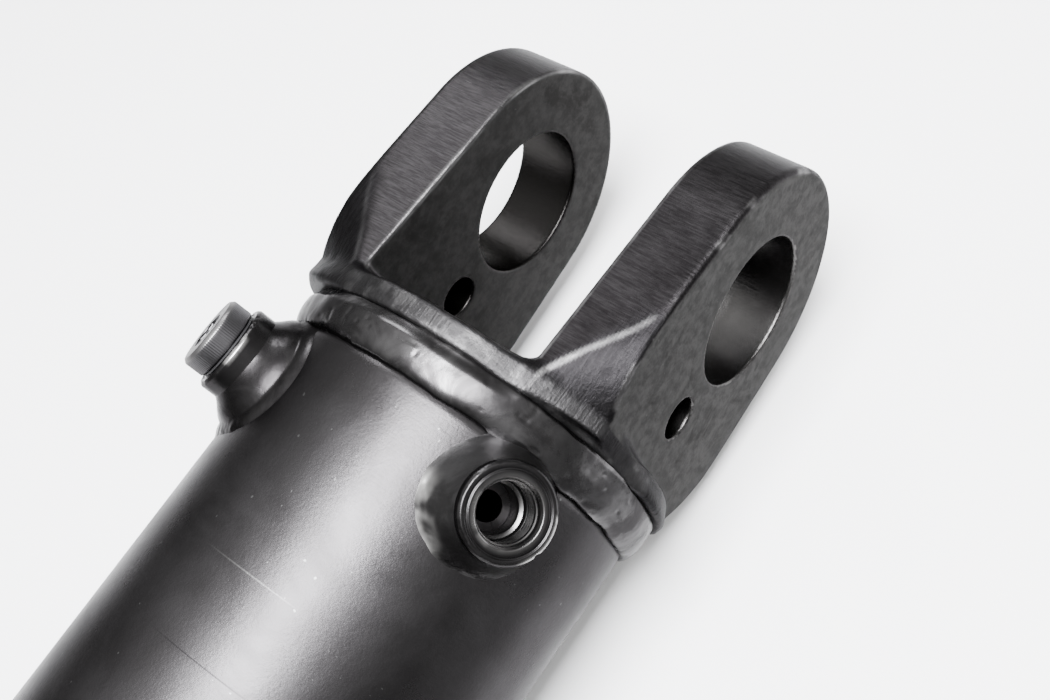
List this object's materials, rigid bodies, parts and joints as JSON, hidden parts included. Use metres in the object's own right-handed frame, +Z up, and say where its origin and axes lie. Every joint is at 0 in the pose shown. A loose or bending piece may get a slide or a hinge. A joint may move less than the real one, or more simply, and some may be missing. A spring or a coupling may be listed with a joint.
{
  "type": "hydraulic cylinder",
  "caption": "Double-acting hydraulic cylinder with a forged two-ear clevis base, welded barrel, angled port bosses, screwed gland and chromed rod ending in a bushed eye.",
  "frame": {"origin": "centre of the base clevis's pin bore, midway between its ears", "axes": "+X along the cylinder from the base pin towards the rod eye, +Y along both pin bores, +Z up; the ports lean 45 degrees from +Z"},
  "size_m": [0.7225, 0.1332, 0.1301],
  "materials": {
    "forged_steel": "matte",
    "tube_finish": "satin",
    "weld_metal": "gloss",
    "machined_steel": "satin",
    "dark_steel": "satin",
    "hard_chrome": "gloss",
    "piston_iron": "satin",
    "bush_bronze": "satin",
    "zinc_plate": "satin",
    "seal_rubber": "matte",
    "bearing_plastic": "matte"
  },
  "bodies": {
    "barrel": {"base_clevis": "forged_steel", "base_weld": "weld_metal", "tube": "tube_finish", "base_port_boss": "machined_steel", "base_port_weld": "weld_metal", "spare_port_boss": "machined_steel", "spare_port_weld": "weld_metal", "rod_port_boss": "machined_steel", "rod_port_weld": "weld_metal", "port_plug": "dark_steel", "plug_seal": "seal_rubber", "gland": "machined_steel", "gland_oring": "seal_rubber", "gland_backup_ring": "bearing_plastic", "gland_face_oring": "seal_rubber", "guide_ring_inner": "bearing_plastic", "guide_ring_outer": "bearing_plastic", "buffer_seal": "seal_rubber", "rod_seal": "seal_rubber", "wiper": "seal_rubber", "gland_lock_screw": "dark_steel"},
    "piston_seals": {"piston_wear_ring_cap_side": "bearing_plastic", "piston_wear_ring_rod_side": "bearing_plastic", "piston_seal": "bearing_plastic", "piston_seal_energiser": "seal_rubber"},
    "rod": {"piston": "piston_iron", "piston_bore_oring": "seal_rubber", "piston_nut": "dark_steel", "rod": "hard_chrome", "rod_eye": "forged_steel", "rod_eye_weld": "weld_metal", "rod_eye_bush": "bush_bronze", "rod_eye_dust_seals": "seal_rubber", "grease_nipple": "zinc_plate"}
  },
  "joints": [
    {"name": "rod_slide", "type": "slide", "parent": "barrel", "child": "piston_seals", "axis": [1, 0, 0], "range_m": [0, 0.3]},
    {"name": "rod_turn", "type": "hinge", "parent": "piston_seals", "child": "rod", "pos_m": [0.144, 0, 0], "axis": [1, 0, 0], "continuous": true}
  ]
}
